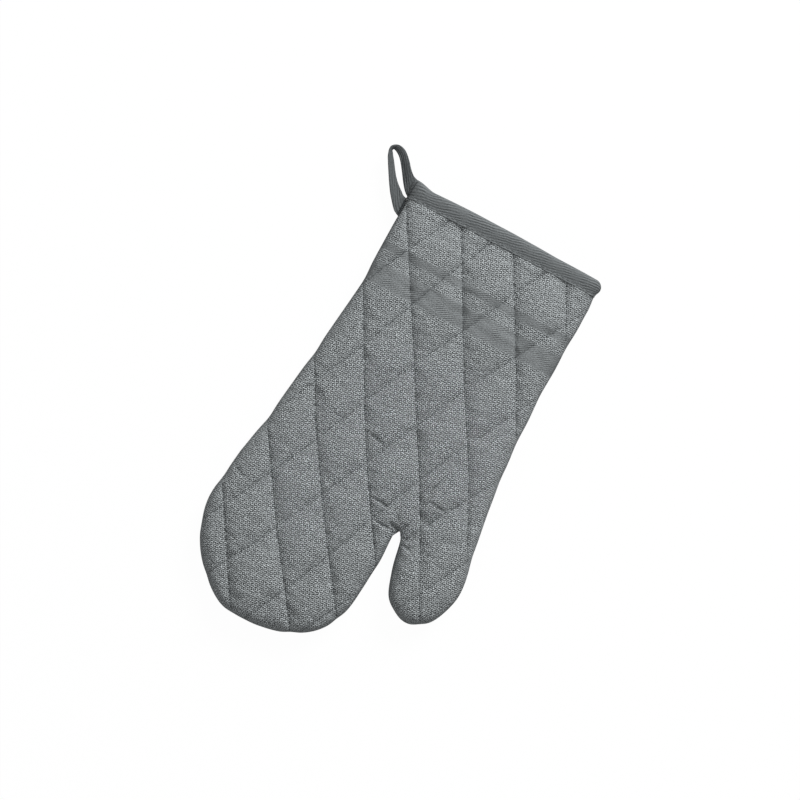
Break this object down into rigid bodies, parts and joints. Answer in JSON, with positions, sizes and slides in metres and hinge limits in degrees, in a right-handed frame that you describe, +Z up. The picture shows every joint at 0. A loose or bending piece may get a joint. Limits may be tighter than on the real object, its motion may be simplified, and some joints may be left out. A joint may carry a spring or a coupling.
{
  "type": "oven mitt",
  "caption": "Quilted oven mitt with a thumb pocket, padded and lined panels, a bound cuff and a tape hanging loop at its corner.",
  "frame": {"origin": "middle of the mitt's outline, loop included, on the surface it lies on", "axes": "+Y from the fingertips to the cuff, +X to the thumb side, +Z up from the surface through the palm"},
  "size_m": [0.1874, 0.3391, 0.0256],
  "materials": {
    "outer_cloth": "matt cotton canvas with a small dotted weave",
    "wadding": "matt cotton wadding",
    "lining": "matt plain cotton",
    "thread": "matt polyester thread",
    "tape": "matt ribbed cotton tape"
  },
  "bodies": {
    "hand": {"back_outer_hand": "outer_cloth", "back_wadding_hand": "wadding", "back_lining_hand": "lining", "front_lining_hand": "lining", "front_wadding_hand": "wadding", "front_outer_hand": "outer_cloth", "seam_hand": "lining", "front_quilting_hand": "thread", "back_quilting_hand": "thread", "cuff_binding": "tape", "binding_stitch": "thread", "loop_tack": "tape"},
    "fingers": {"back_outer_fingers": "outer_cloth", "back_wadding_fingers": "wadding", "back_lining_fingers": "lining", "front_lining_fingers": "lining", "front_wadding_fingers": "wadding", "front_outer_fingers": "outer_cloth", "seam_fingers": "lining", "front_quilting_fingers": "thread", "back_quilting_fingers": "thread"},
    "thumb": {"back_outer_thumb": "outer_cloth", "back_wadding_thumb": "wadding", "back_lining_thumb": "lining", "front_lining_thumb": "lining", "front_wadding_thumb": "wadding", "front_outer_thumb": "outer_cloth", "seam_thumb": "lining", "front_quilting_thumb": "thread", "back_quilting_thumb": "thread"},
    "loop": {"hanging_loop": "tape"}
  },
  "joints": [
    {"name": "finger_fold", "type": "hinge", "parent": "hand", "child": "fingers", "pos_m": [-0.02287, -0.06791, 0.025], "axis": [-1, 0, 0], "range_deg": [0, 60]},
    {"name": "thumb_fold", "type": "hinge", "parent": "hand", "child": "thumb", "pos_m": [0.06121, -0.05944, 0.025], "axis": [-0.9455, -0.3256, 0], "range_deg": [0, 50]},
    {"name": "loop_swing", "type": "hinge", "parent": "hand", "child": "loop", "pos_m": [-0.06882, 0.14109, 0.009], "axis": [0, 1, 0], "range_deg": [0, 100]}
  ]
}
